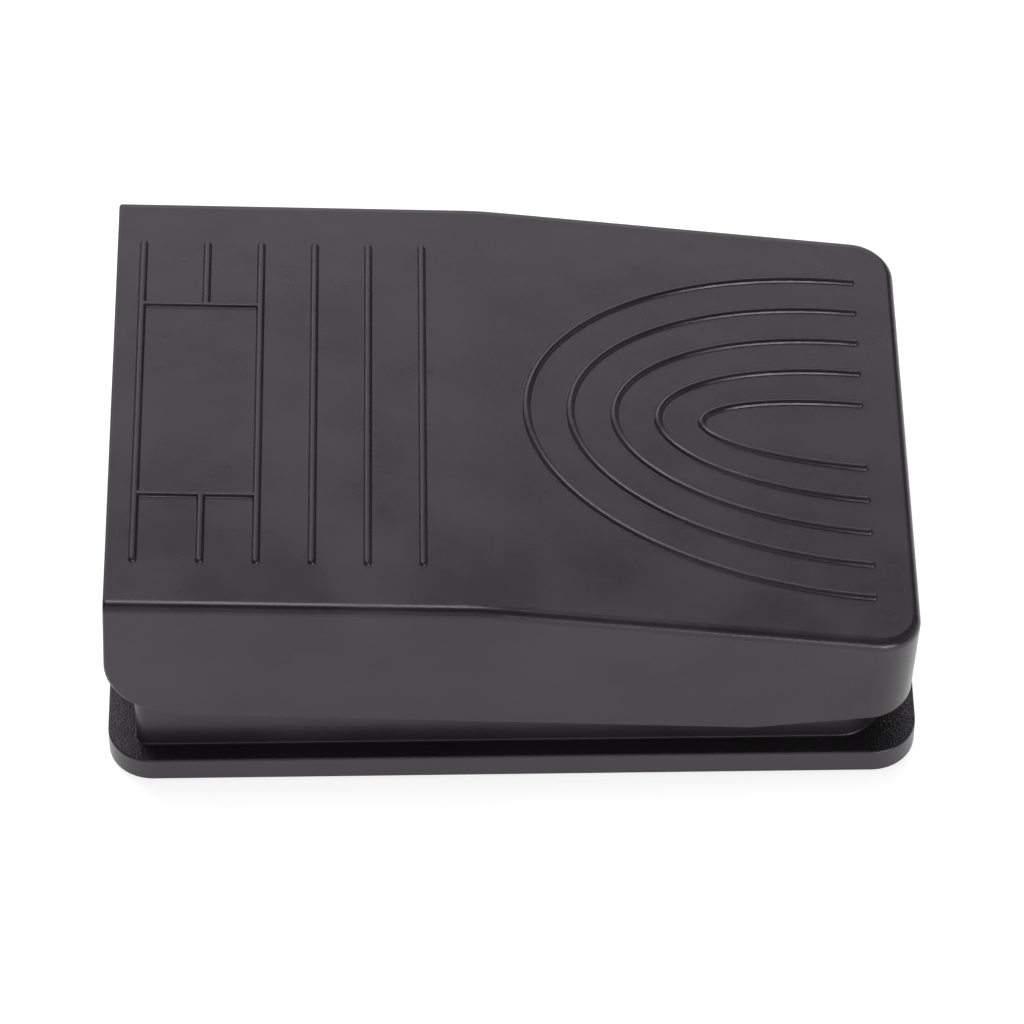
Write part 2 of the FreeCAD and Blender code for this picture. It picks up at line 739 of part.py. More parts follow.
def housing_openings():
    """Holes, wells, windows and slots in the housing."""
    tools = []
    for index, (x, y) in enumerate(BOSSES, start=1):
        tools.append(rod(f"boss_hole_{index}", "screw_size + 0.05", "13", x, y, "plate_high - 0.5"))
    for tag, side in SIDES.items():
        tools.append(rod(f"well_bore_{tag}", "well_bore", "30", "spring_x", f"{side} * spring_y",
                         "spring_floor"))
        tools.append(box(f"lug_window_{tag}", ("hinge_x - 4.4", "hinge_x + 4.4"),
                         band(side, "lug_near - 0.7", "lug_far + 0.7"), ("12", "24")))
        tools.append(box(f"hook_slot_{tag}", ("hook_x - hook_half - 1", "hook_x + hook_half + 1"),
                         band(side, "hook_y - 2", "hook_y + hook_thick + 0.3"), ("18", "27")))
        tools.append(rod(f"bump_hole_{tag}", "bump_stem + 0.05", "8", "bump_x", f"{side} * bump_y", "18"))
        tools.append(rod(f"clamp_pilot_{tag}", "1.08", "7", "clamp_x", f"{side} * clamp_y", "clamp_high - 1"))
        tools.append(rod(f"bracket_pilot_{tag}", "switch_shank + 0.03", "8", f"{side} * switch_screw_x",
                         "switch_far", "switch_screw_z", "+Y"))
    tools.append(box("switch_window", ("-switch_half - 1.5", "switch_half + 1.5"), ("-4.3", "4.3"),
                     ("17.4", "26")))
    tools.append(rod("pin_hole", "pin_size + 0.01", "2 * pin_half + 2", "hinge_x", "-pin_half - 1",
                     "hinge_z", "+Y"))
    tools.append(rod("gland_hole", "gland_neck + 0.05", "4", "upstand_back - 1", "0", "gland_z", "+X"))
    tools.append(rod("saddle_notch", "cord_size", "4", "clamp_x - 2", "0", "gland_z + 0.2", "+X"))
    return tools


def base_housing():
    """Flanged housing with its bosses, bearings, wells and openings."""
    solid = join("housing_solid", [housing_shell()] + housing_additions())
    node(cut("housing_cut", solid, housing_openings()), "base_housing")


def base_plate():
    """Steel plate that closes the underside."""
    body = new_body("plate_body")
    plan = outline(body, "plate_plan", "XY_Plane", [
        ("-plate_length / 2", "-plate_width / 2"),
        ("plate_length / 2", "-plate_width / 2"),
        ("plate_length / 2", "plate_width / 2"),
        ("-plate_length / 2", "plate_width / 2"),
    ], height="plate_low")
    pad(body, "plate", plan, "plate_high - plate_low")
    rounding(body, "plate_corners", "plate_corner", upright)
    tools = []
    for index, (x, y) in enumerate(BOSSES, start=1):
        tools.append(cone(f"plate_sink_{index}", "screw_head + 0.15", "screw_size + 0.2", "1.3", x, y,
                          "plate_low"))
        tools.append(rod(f"plate_hole_{index}", "screw_size + 0.2", "3", x, y, "plate_low"))
    node(cut("plate_cut", body, tools), "base_plate")


def cross_slot(tag, x, y, z, direction, size):
    """Two crossed slots for a screwdriver, sunk along a direction from a screw's head."""
    arms = []
    for name, along, across in (("a", f"2 * ({size})", "slot_wide"), ("b", "slot_wide", f"2 * ({size})")):
        wide = (f"{x} - ({along}) / 2", f"{x} + ({along}) / 2")
        if direction == "+Z":
            sides = (wide, (f"{y} - ({across}) / 2", f"{y} + ({across}) / 2"), (z, f"{z} + slot_deep"))
        else:
            sides = (wide, (y, f"{y} + slot_deep"), (f"{z} - ({across}) / 2", f"{z} + ({across}) / 2"))
        arms.append(box(f"drive_{tag}_{name}", *sides))
    return arms


def base_plate_screws():
    """Countersunk screws that hold the plate."""
    screws = []
    for index, (x, y) in enumerate(BOSSES, start=1):
        head = cone(f"plate_head_{index}", "screw_head", "screw_size", "1.35", x, y, "plate_low")
        shank = rod(f"plate_shank_{index}", "screw_size", "9", x, y, "plate_low + 1")
        tip = cone(f"plate_tip_{index}", "screw_size", "0.3", "1.2", x, y, "plate_low + 10")
        solid = join(f"plate_screw_solid_{index}", [head, shank, tip])
        drive = cross_slot(f"plate_{index}", x, y, "plate_low", "+Z", "1.5")
        screws.append(cut(f"plate_screw_{index}", solid, drive))
    node(gather("plate_screws", screws), "base_plate_screws")


def rubber_feet():
    """Round feet stuck under the plate."""
    for tag, side in SIDES.items():
        for end, x in (("left", "-foot_x"), ("right", "foot_x")):
            disc = rod(f"foot_disc_{tag}_{end}", "foot_size", "plate_low", x, f"{side} * foot_y", "0")
            item = chamfered(f"foot_{tag}_{end}_shape", disc, "0.3",
                             lambda edge: edge.BoundBox.ZMax < TINY and edge.BoundBox.XLength > 1)
            node(item, f"foot_{tag}_{end}")


def hinge_pin():
    """Steel rod that the cover turns on."""
    item = rod("pin_rod", "pin_size", "2 * pin_half", "hinge_x", "-pin_half", "hinge_z", "+Y")
    node(chamfered("pin_shape", item, "0.3", lambda edge: edge.BoundBox.YLength < TINY), "hinge_pin")


def return_spring(label, side):
    """Compression spring from the well to the cover, wound as half turns that lean to either side."""
    rise = "(spring_height - 2 * spring_wire) / (2 * spring_turns)"
    lean = f"atan({rise} / (2 * spring_mean))"
    halves = []
    for step in range(int(value("2 * spring_turns"))):
        half = doc.addObject("Part::Torus", f"coil_{label}_{step + 1}")
        bind(half, Radius1=f"spring_mean / cos({lean})", Radius2="spring_wire", Angle3="180")
        place(half, "spring_x", f"{side} * spring_y",
              f"spring_floor + 0.1 + spring_wire + {step + 0.5} * {rise}", (0, 1, 0), value(lean))
        if step % 2:
            turn = Rotation(Vector(0, 1, 0), -value(lean)).multiply(Rotation(Vector(0, 0, 1), 180))
            half.Placement = Placement(half.Placement.Base, turn)
        halves.append(half)
    return node(join(f"spring_{label}", halves), f"return_spring_{label}")


def stop_pad(label, side):
    """Thin pad stuck under the deck, which quiets the hook at rest."""
    y = band(side, "hook_y + 2.4", "hook_y + 5.2")
    block = box(f"pad_block_{label}", ("0", "6"), y, ("0", "pad_thick"))
    under = f"{deck('hook_x - 3')} - (base_wall + pad_thick + 0.04) / cos(deck_fall)"
    place(block, "hook_x - 3", y[0], under, (0, 1, 0), value("deck_fall"))
    return node(block, f"stop_pad_{label}")


def bump_stop(label, side):
    """Rubber button on the deck that the cover meets when fully pressed."""
    y = f"{side} * bump_y"
    ground = deck("bump_x")
    top = rod(f"bump_top_{label}", "bump_size", "bump_height", "bump_x", y, f"{ground} + 0.03")
    place(top, "bump_x", y, f"{ground} + 0.03", (0, 1, 0), value("deck_fall"))
    head = chamfered(f"bump_head_{label}", top, "0.35", lambda edge: edge.BoundBox.ZMin > value(ground) + 1)
    stem = rod(f"bump_stem_{label}", "bump_stem", "4", "bump_x", y, f"{ground} - 3.5")
    barb = cone(f"bump_barb_{label}", "0.8", "1.6", "1.2", "bump_x", y, f"{ground} - 3.9")
    return node(join(f"bump_{label}", [head, stem, barb]), f"bump_stop_{label}")


# ---------------------------------------------------------------- snap switch

SCREW_POINTS = [("-switch_screw_x", "left"), ("switch_screw_x", "right")]
TERMINALS = {"common": "-8.0", "normally_open": "1.2", "normally_closed": "8.2"}


def switch_case():
    """Moulded body with its works side open towards the lid."""
    block = box("case_block", ("-switch_half", "switch_half"), ("switch_near", "switch_joint"),
                ("switch_low", "switch_high"))
    ear = box("case_ear", ("lever_x - 1.2", "lever_x + 1.2"), ("switch_near + 0.1", "switch_near + 0.9"),
              ("switch_high - 0.5", "lever_z + 1.1"))
    room = box("case_room", ("1 - switch_half", "switch_half - 1"), ("switch_near + 0.9", "switch_joint + 1"),
               ("switch_low + 1", "switch_high - 1"))
    hollow = cut("case_hollow", join("case_solid", [block, ear]), [room])
    columns = [rod(f"case_column_{tag}", "1.9", "switch_joint - switch_near", x, "switch_near",
                   "switch_screw_z", "+Y") for x, tag in SCREW_POINTS]
    tools = [rod(f"case_hole_{tag}", "switch_hole", "9", x, "switch_near - 1", "switch_screw_z", "+Y")
             for x, tag in SCREW_POINTS]
    tools += [box(f"case_slot_{tag}", (f"{x} - 0.27", f"{x} + 0.27"), ("-1.42", "1.42"),
                  ("switch_low - 1", "switch_low + 2")) for tag, x in TERMINALS.items()]
    tools.append(rod("case_plunger_hole", "plunger_size + 0.06", "4", "plunger_x", "0", "switch_high - 2"))
    tools.append(rod("case_ear_hole", "lever_bore - 0.04", "3", "lever_x", "switch_near - 1", "lever_z",
                     "+Y"))
    node(cut("case_cut", join("case_whole", [hollow] + columns), tools), "switch_case")


def switch_lid():
    """Flat cover on the works side."""
    block = box("lid_block", ("-switch_half", "switch_half"), ("switch_joint", "switch_far"),
                ("switch_low", "switch_high"))
    ear = box("lid_ear", ("lever_x - 1.2", "lever_x + 1.2"), ("switch_joint + 0.1", "switch_far - 0.1"),
              ("switch_high - 0.5", "lever_z + 1.1"))
    tools = [rod(f"lid_hole_{tag}", "switch_hole", "4", x, "switch_joint - 1", "switch_screw_z", "+Y")
             for x, tag in SCREW_POINTS]
    tools.append(rod("lid_ear_hole", "lever_bore - 0.04", "3", "lever_x", "switch_joint - 1", "lever_z",
                     "+Y"))
    node(cut("lid_cut", join("lid_solid", [block, ear]), tools), "switch_lid")


def switch_plunger():
    """Button that the lever pushes into the case."""
    top = "lever_z + 0.15"
    stem = rod("plunger_stem", "plunger_size", f"{top} - plunger_foot", "plunger_x", "0", "plunger_foot")
    collar = rod("plunger_collar", "1.5 * plunger_size", "1.2", "plunger_x", "0", "switch_high - 2.25")
    tip = cone("plunger_tip", "plunger_size", "0.35", "0.35", "plunger_x", "0", top)
    node(join("plunger_solid", [stem, collar, tip]), "switch_plunger")


def switch_lever():
    """Steel strip curled round its pin, bowed down a little at the free end."""
    strip = box("lever_strip", ("lever_curl - 0.25", "lever_reach"), ("-lever_half", "lever_half"),
                ("-lever_thick / 2", "lever_thick / 2"))
    curl = rod("lever_curl_rod", "lever_curl", "2 * lever_half", "0", "-lever_half", "0", "+Y")
    bore = rod("lever_bore_rod", "lever_bore", "2 * lever_half + 2", "0", "-lever_half - 1", "0", "+Y")
    lip = rod("lever_lip", "0.45", "2 * lever_half", "lever_reach", "-lever_half", "-0.25", "+Y")
    lever = cut("lever_shape", join("lever_solid", [strip, curl, lip]), [bore])
    place(lever, "lever_x", "0", "lever_z", (0, 1, 0), -value("lever_angle"))
    node(lever, "switch_lever")


def switch_lever_pin():
    """Pivot of the lever."""
    item = rod("lever_pin_rod", "lever_bore - 0.07", "switch_far - switch_near - 0.2", "lever_x",
               "switch_near + 0.1", "lever_z", "+Y")
    node(item, "switch_lever_pin")


BLADE_SIDES = ("-blade_half", "blade_half")


def switch_blade():
    """Moving contact strip with a contact button near its free end."""
    strip = box("blade_strip", ("blade_x", "blade_tip + contact_size"), BLADE_SIDES,
                ("blade_z - blade_thick / 2", "blade_z + blade_thick / 2"))
    curl = rod("blade_curl", "0.4", "2 * blade_half", "blade_x", "-blade_half", "blade_z", "+Y")
    button = rod("blade_button", "contact_size", "3 * blade_thick", "blade_tip", "0",
                 "blade_z - 1.5 * blade_thick")
    node(join("blade_solid", [strip, curl, button]), "switch_blade")


def terminal(label, top, arm=None, contact=None):
    """Brass terminal: a strip up through the case, with an arm and a fixed contact where it has them."""
    x = TERMINALS[label]
    parts = [box(f"strip_{label}", (f"{x} - 0.25", f"{x} + 0.25"), BLADE_SIDES, ("4.6", top))]
    if arm:
        parts.append(box(f"arm_{label}", arm, BLADE_SIDES, (f"{top} - 0.4", top)))
    if contact:
        parts.append(rod(f"contact_{label}", "contact_size", "0.55", "blade_tip", "0", contact))
    eye = rod(f"eye_{label}", "0.6", "3", f"{x} - 1.5", "0", "5.8", "+X")
    node(cut(f"terminal_{label}_cut", join(f"terminal_{label}_solid", parts), [eye]), f"terminal_{label}")


def switch_screws():
    """Two screws through the switch into the bracket."""
    screws = []
    for x, tag in SCREW_POINTS:
        head = rod(f"switch_head_{tag}", "1.9", "1.3", x, "switch_near - 1.3", "switch_screw_z", "+Y")
        shank = rod(f"switch_shank_{tag}", "switch_shank", "switch_far + 6.5 - switch_near", x, "switch_near",
                    "switch_screw_z", "+Y")
        solid = join(f"switch_screw_solid_{tag}", [head, shank])
        drive = cross_slot(f"switch_{tag}", x, "switch_near - 1.3", "switch_screw_z", "+Y", "1.2")
        screws.append(cut(f"switch_screw_{tag}", solid, drive))
    node(gather("switch_screw_set", screws), "switch_screws")


# ---------------------------------------------------------------- cord entry


def cable_gland():
    """Rubber bush that snaps into the end wall."""
    outer = rod("gland_outer", "gland_flange", "1.35", "upstand_back - 1.4", "0", "gland_z", "+X")
    face = chamfered("gland_face", outer, "0.4",
                     lambda edge: edge.BoundBox.XMax < value("upstand_back") - 1.3)
    neck = rod("gland_neck_rod", "gland_neck", "3", "upstand_back - 0.5", "0", "gland_z", "+X")
    inner = cone("gland_inner", "gland_flange - 0.2", "gland_neck", "1.3",
                 "upstand_back + base_wall + 0.05", "0", "gland_z", "+X")
    bore = rod("gland_bore_rod", "gland_bore", "7", "upstand_back - 2", "0", "gland_z", "+X")
    node(cut("gland_cut", join("gland_solid", [face, neck, inner]), [bore]), "cable_gland")


def cord_clamp():
    """Strap that holds the cord against the saddle."""
    strap = box("clamp_strap", ("clamp_x - 3", "clamp_x + 3"), ("-clamp_half", "clamp_half"),
                ("clamp_low", "clamp_high"))
    bevelled = chamfered("clamp_bevel", strap, "1", upright)
    tools = [rod("clamp_trough", "cord_size + 0.2", "8", "clamp_x - 4", "0", "gland_z + 0.2", "+X")]
    for tag, side in SIDES.items():
        tools.append(rod(f"clamp_hole_{tag}", "1.25", "4", "clamp_x", f"{side} * clamp_y", "clamp_low - 1"))
    node(cut("clamp_cut", bevelled, tools), "cord_clamp")


def cord_clamp_screws():
    """Two screws that draw the strap up to its posts."""
    screws = []
    for tag, side in SIDES.items():
        y = f"{side} * clamp_y"
        head = rod(f"clamp_head_{tag}", "2.2", "1.5", "clamp_x", y, "clamp_low - 1.5")
        shank = rod(f"clamp_shank_{tag}", "1.05", "7.5", "clamp_x", y, "clamp_low")
        solid = join(f"clamp_screw_solid_{tag}", [head, shank])
        drive = cross_slot(f"clamp_{tag}", "clamp_x", y, "clamp_low - 1.5", "+Z", "1.5")
        screws.append(cut(f"clamp_screw_{tag}", solid, drive))
    node(gather("clamp_screw_set", screws), "cord_clamp_screws")


# ---------------------------------------------------------------- assembly


def write_parts():
    """Checks every object and writes one STEP file per sub-part."""
    doc.recompute()
    for item in doc.Objects:
        if "Invalid" in item.State or "Error" in item.State:
            raise RuntimeError(f"{item.Name} failed: {item.State}")
    for item in NODES:
        if item.Shape.isNull() or not item.Shape.isValid():
            raise RuntimeError(f"{item.Label} has no valid shape")
    os.makedirs("parts", exist_ok=True)
    for item in NODES:
        item.Shape.exportStep(f"parts/{item.Label}.step")
        print(f"{item.Label}: {len(item.Shape.Solids)} solid(s), {item.Shape.Volume:.1f} mm3")


pedal_cover()
base_housing()
base_plate()
base_plate_screws()
rubber_feet()
hinge_pin()
mirrored_pair(return_spring)
mirrored_pair(stop_pad)
mirrored_pair(bump_stop)
switch_case()
switch_lid()
switch_plunger()
switch_lever()
switch_lever_pin()
switch_blade()
terminal("common", "13.6")
terminal("normally_open", "12.95", ("0.95", "7.3"), "12.48")
terminal("normally_closed", "15.4", ("5.5", "8.45"), "14.85")
switch_screws()
cable_gland()
cord_clamp()
cord_clamp_screws()
write_parts()
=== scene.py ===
import math

import bpy
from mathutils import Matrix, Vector


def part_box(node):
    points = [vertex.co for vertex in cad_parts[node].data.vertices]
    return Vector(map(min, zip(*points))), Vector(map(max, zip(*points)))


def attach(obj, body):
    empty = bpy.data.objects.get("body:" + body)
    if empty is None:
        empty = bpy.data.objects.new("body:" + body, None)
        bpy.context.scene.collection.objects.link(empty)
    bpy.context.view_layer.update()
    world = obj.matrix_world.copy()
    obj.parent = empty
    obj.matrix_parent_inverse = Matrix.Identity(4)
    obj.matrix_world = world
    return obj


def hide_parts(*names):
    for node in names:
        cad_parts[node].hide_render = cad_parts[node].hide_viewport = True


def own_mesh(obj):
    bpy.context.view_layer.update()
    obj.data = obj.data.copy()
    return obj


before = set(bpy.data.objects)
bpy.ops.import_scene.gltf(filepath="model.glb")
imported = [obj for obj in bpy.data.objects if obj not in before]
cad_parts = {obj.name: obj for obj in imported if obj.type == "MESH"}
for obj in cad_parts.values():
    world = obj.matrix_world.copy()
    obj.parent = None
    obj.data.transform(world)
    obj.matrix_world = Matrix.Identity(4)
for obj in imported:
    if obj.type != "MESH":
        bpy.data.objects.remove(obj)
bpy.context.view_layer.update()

MM = 0.001

# Camera: where it stands and how it frames the pedal.
CAMERA_AZIMUTH = math.radians(-0.9)
CAMERA_ELEVATION = math.radians(49.5)
CAMERA_DISTANCE = 687.3 * MM
CAMERA_LENS = 191.6
AIM_HEIGHT = 12.7 * MM
AIM_RIGHT = 0.46 * MM
AIM_UP = -1.46 * MM

# Studio: a pale floor with a glow of its own, in a faint light tent. Each softbox is name, azimuth and
# elevation in degrees, distance, width and height in metres, and power in watts.
FLOOR_SIDE = 8.0
FLOOR_GLOW = 0.76
TENT_STRENGTH = 0.15
SOFTBOXES = [
    ("overhead_softbox", 200, 79, 1.3, 0.55, 0.55, 7.6),
    ("rear_softbox", 190, 34, 1.5, 2.2, 0.8, 13.6),
    ("front_softbox", 30, 11, 1.4, 0.75, 0.5, 10.0),
    ("fill_softbox", -12, 25, 1.5, 0.9, 0.9, 1.8),
    ("right_softbox", 95, 22, 1.4, 0.8, 0.8, 0.8),
    ("left_softbox", -95, 25, 1.4, 0.8, 0.8, 0.8),
]

# Return springs: a wire wound between two flat ends.
SPRING_WIRE_RADIUS = 0.45 * MM
SPRING_TURNS = 8
SPRING_CLOSED_TURNS = 1.25
SPRING_POINTS_PER_TURN = 32

# Moulded parts: the flange's top face above the housing's underside, and the cast of the plastic's shine.
FLANGE_TOP_RISE = 3.46 * MM
SHINE_CAST = (1.0, 0.94, 1.0, 1)


class Finish:
    """A procedural material: one Principled shader, and the nodes that vary it over the surface."""

    def __init__(self, name, **constants):
        self.material = bpy.data.materials.new(name)
        self.material.use_nodes = True
        self.tree = self.material.node_tree
        self.shader = self.tree.nodes["Principled BSDF"]
        for socket, setting in constants.items():
            self.shader.inputs[socket.replace("_", " ")].default_value = setting
        place = self.tree.nodes.new("ShaderNodeTexCoord")
        self.place = place.outputs["Object"]
        self.normal = place.outputs["Normal"]

    def feed(self, socket, source):
        """Links an output, or sets a plain number, on an input socket."""
        if isinstance(source, bpy.types.NodeSocket):
            self.tree.links.new(source, socket)
        else:
            socket.default_value = source

    def sums(self, operation, first, second=0.0):
        """One sum on two numbers or outputs."""
        node = self.tree.nodes.new("ShaderNodeMath")
        node.operation = operation
        self.feed(node.inputs[0], first)
        self.feed(node.inputs[1], second)
        return node.outputs[0]

    def axis(self, vector, letter):
        """One component of a vector."""
        node = self.tree.nodes.new("ShaderNodeSeparateXYZ")
        self.feed(node.inputs[0], vector)
        return node.outputs[letter]

    def stretched(self, x, y, z):
        """The place on the surface, with each axis scaled."""
        node = self.tree.nodes.new("ShaderNodeMapping")
        self.feed(node.inputs["Vector"], self.place)
        node.inputs["Scale"].default_value = (x, y, z)
        return node.outputs["Vector"]

    def noise(self, grain, detail=2.0, place=None):
        """Cloudy noise from 0 to 1, with features about as large as grain, in millimetres."""
        node = self.tree.nodes.new("ShaderNodeTexNoise")
        self.feed(node.inputs["Vector"], place or self.place)
        node.inputs["Scale"].default_value = 1 / (grain * MM)
        node.inputs["Detail"].default_value = detail
        return node.outputs["Fac"]

    def cells(self, grain, feature="F1"):
        """The distance within rounded cells about as large as grain, in millimetres."""
        node = self.tree.nodes.new("ShaderNodeTexVoronoi")
        node.feature = feature
        self.feed(node.inputs["Vector"], self.place)
        node.inputs["Scale"].default_value = 1 / (grain * MM)
        return node.outputs["Distance"]

    def fade(self, source, start, end, low=0.0, high=1.0):
        """A smooth change from low to high as the source goes from start to end."""
        node = self.tree.nodes.new("ShaderNodeMapRange")
        node.interpolation_type = "SMOOTHSTEP"
        self.feed(node.inputs["Value"], source)
        for socket, setting in zip(("From Min", "From Max", "To Min", "To Max"), (start, end, low, high)):
            node.inputs[socket].default_value = setting
        return node.outputs["Result"]

    def tint(self, mask, plain, marked):
        """Colours the surface plain, and marked where the mask is 1."""
        node = self.tree.nodes.new("ShaderNodeMix")
        node.data_type = "RGBA"
        self.feed(node.inputs["Factor"], mask)
        node.inputs["A"].default_value = (*plain, 1)
        node.inputs["B"].default_value = (*marked, 1)
        self.feed(self.shader.inputs["Base Color"], node.outputs["Result"])

    def roughen(self, source):
        """Varies the roughness."""
        self.feed(self.shader.inputs["Roughness"], source)

    def relief(self, *layers):
        """Raises the surface by layers of (height, depth in millimetres)."""
        below = None
        for height, depth in layers:
            node = self.tree.nodes.new("ShaderNodeBump")
            node.inputs["Distance"].default_value = depth * MM
            self.feed(node.inputs["Height"], height)
            if below:
                self.feed(node.inputs["Normal"], below)
            below = node.outputs["Normal"]
        self.feed(self.shader.inputs["Normal"], below)

    def rounded_edges(self):
        """1 on the roundings between a top and its sides, and 0 on both."""
        upward = self.sums("MAXIMUM", self.axis(self.normal, "Z"), 0.0)
        downhill = self.sums("SUBTRACT", 1.0, upward)
        return self.sums("MULTIPLY", self.sums("MULTIPLY", upward, downhill), 4.0)


def cover_plastic():
    """The cover's plastic: fine satin, faintly wavy from moulding, rubbed smoother on the edges, and
    coloured lighter in grainy patches on its roundings, part rubbing wear and part painted highlight.
    """
    finish = Finish("cover_plastic_satin", IOR=1.44, Specular_Tint=SHINE_CAST)
    clouds = finish.noise(14, 3)
    pits = finish.noise(0.16, 1)
    ripple = finish.noise(1.6, 1)
    waves = finish.noise(11, 2)
    # Painted highlight: the roundings are coloured lighter in grainy patches, partly real rubbing wear and
    # partly standing in for the light they catch.
    rounding_mask = finish.fade(finish.rounded_edges(), 0.35, 0.95)
    wear_and_painted_highlight = finish.sums("MULTIPLY", rounding_mask, finish.fade(finish.noise(2.4, 3), 0.38, 0.62))
    cloudy = finish.fade(clouds, 0.3, 0.7, 0.0, 0.7)
    # The tint mask: random cloudy mottling, plus the painted highlight on the roundings.
    mottle_and_painted_highlight = finish.sums("ADD", cloudy, finish.sums("MULTIPLY", wear_and_painted_highlight, 0.5))
    finish.tint(mottle_and_painted_highlight, (0.0095, 0.0083, 0.0095), (0.0185, 0.0165, 0.0187))
    blotches = finish.fade(clouds, 0.3, 0.7, 0.25, 0.34)
    finish.roughen(finish.sums("SUBTRACT", blotches, finish.sums("MULTIPLY", wear_and_painted_highlight, 0.08)))
    finish.relief((waves, 0.09), (ripple, 0.006), (pits, 0.012))
    return finish.material


def base_plastic():
    """The base's plastic: satin walls, and leather grain on the flange's top face."""
    finish = Finish("base_plastic_grained", IOR=1.47, Specular_Tint=SHINE_CAST)
    upward = finish.axis(finish.normal, "Z")
    flange_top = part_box("base_housing")[0].z + FLANGE_TOP_RISE
    low = finish.fade(finish.axis(finish.place, "Z"), flange_top + 0.3 * MM, flange_top + 0.1 * MM)
    grained = finish.sums("MULTIPLY", low, finish.fade(upward, 0.75, 0.95))
    leather = finish.fade(finish.cells(0.45, "DISTANCE_TO_EDGE"), 0.02, 0.3)
    warp = finish.noise(0.25, 2)
    clouds = finish.noise(11, 3)
    cloudy = finish.fade(clouds, 0.3, 0.7, 0.0, 0.6)
    finish.tint(cloudy, (0.0125, 0.0112, 0.0125), (0.017, 0.0155, 0.0172))
    smooth = finish.fade(clouds, 0.3, 0.7, 0.31, 0.36)
    finish.roughen(finish.sums("ADD", smooth, finish.sums("MULTIPLY", grained, 0.06)))
    warped = finish.sums("ADD", leather, finish.sums("MULTIPLY", warp, 0.5))
    pebbles = finish.sums("MULTIPLY", warped, grained)
    finish.relief((finish.noise(0.16, 1), 0.006), (pebbles, 0.022))
    return finish.material


def rubber(name, colour, dusty, roughness):
    """Matt rubber with a fine tooth and a trace of dust."""
    finish = Finish(name, IOR=1.5)
    dust = finish.fade(finish.noise(3.5, 4), 0.45, 0.75)
    finish.tint(dust, colour, dusty)
    finish.roughen(finish.fade(dust, 0.0, 1.0, roughness, roughness + 0.12))
    finish.relief((finish.noise(0.22, 2), 0.02))
    return finish.material


def metal(name, colour, stained, roughness, grain, along=(1, 1, 1)):
    """Bare or plated metal: drawn or rolled lines along one axis, and faint stains."""
    finish = Finish(name, Metallic=1.0)
    lines = finish.noise(grain, 3, finish.stretched(*along))
    stains = finish.fade(finish.noise(5, 3), 0.42, 0.72)
    finish.tint(stains, colour, stained)
    drawn = finish.fade(lines, 0.3, 0.7, roughness - 0.06, roughness + 0.06)
    finish.roughen(finish.sums("ADD", drawn, stains))
    finish.relief((lines, 0.004))
    return finish.material


def moulding(name, colour, marked, roughness):
    """A small hard moulding: even colour with faint flow marks."""
    finish = Finish(name, IOR=1.5)
    flow = finish.noise(2.2, 3, finish.stretched(0.35, 1, 1))
    finish.tint(finish.fade(flow, 0.35, 0.7), colour, marked)
    finish.roughen(finish.fade(flow, 0.3, 0.7, roughness - 0.04, roughness + 0.06))
    finish.relief((finish.noise(0.2, 1), 0.005))
    return finish.material


def finishes():
    """The material for each of the record's slots."""
    return {
        "cover_plastic": cover_plastic(),
        "base_plastic": base_plastic(),
        "plated_steel": metal("zinc_sheet", (0.56, 0.56, 0.54), (0.44, 0.44, 0.43), 0.34, 0.5, (0.08, 1, 1)),
        "screw_steel": metal("zinc_screw", (0.5, 0.5, 0.49), (0.36, 0.36, 0.36), 0.3, 0.4),
        "pin_steel": metal("ground_rod", (0.62, 0.62, 0.63), (0.5, 0.5, 0.5), 0.2, 0.3, (1, 8, 1)),
        "spring_steel": metal("spring_wire", (0.5, 0.5, 0.52), (0.36, 0.36, 0.37), 0.27, 0.4),
        "soft_rubber": rubber("soft_rubber_pad", (0.03, 0.03, 0.031), (0.05, 0.049, 0.047), 0.7),
        "foot_rubber": rubber("foot_rubber_matt", (0.022, 0.022, 0.023), (0.05, 0.048, 0.045), 0.76),
        "gland_rubber": rubber("gland_rubber_matt", (0.02, 0.02, 0.021), (0.034, 0.033, 0.032), 0.66),
        "switch_plastic": moulding("switch_moulding", (0.05, 0.05, 0.055), (0.065, 0.064, 0.068), 0.3),
        "button_plastic": moulding("plunger_moulding", (0.5, 0.035, 0.025), (0.58, 0.05, 0.035), 0.36),
        "contact_brass": metal("contact_brass", (0.74, 0.55, 0.26), (0.56, 0.38, 0.17), 0.28, 0.4,
                               (0.1, 1, 1)),
        "clamp_plastic": moulding("clamp_nylon", (0.03, 0.03, 0.032), (0.042, 0.041, 0.043), 0.5),
    }


def paint_frame(finish_of):
    """Gives each CAD node the finish of the slot it was packed with."""
    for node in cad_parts.values():
        for place in node.material_slots:
            place.material = finish_of[place.material.name]


def spring_line(radius, length):
    """The wire's centreline: closed turns at both ends, an even rise between them."""
    count = SPRING_TURNS * SPRING_POINTS_PER_TURN
    closed = SPRING_CLOSED_TURNS / SPRING_TURNS
    flat = 2 * SPRING_WIRE_RADIUS * SPRING_CLOSED_TURNS
    points = []
    for step in range(count + 1):
        share = step / count
        turn = 2 * math.pi * SPRING_TURNS * share
        if share < closed:
            height = flat * share / closed
        elif share > 1 - closed:
            height = length - flat * (1 - share) / closed
        else:
            height = flat + (length - 2 * flat) * (share - closed) / (1 - 2 * closed)
        points.append((radius * math.cos(turn), radius * math.sin(turn), height))
    return points


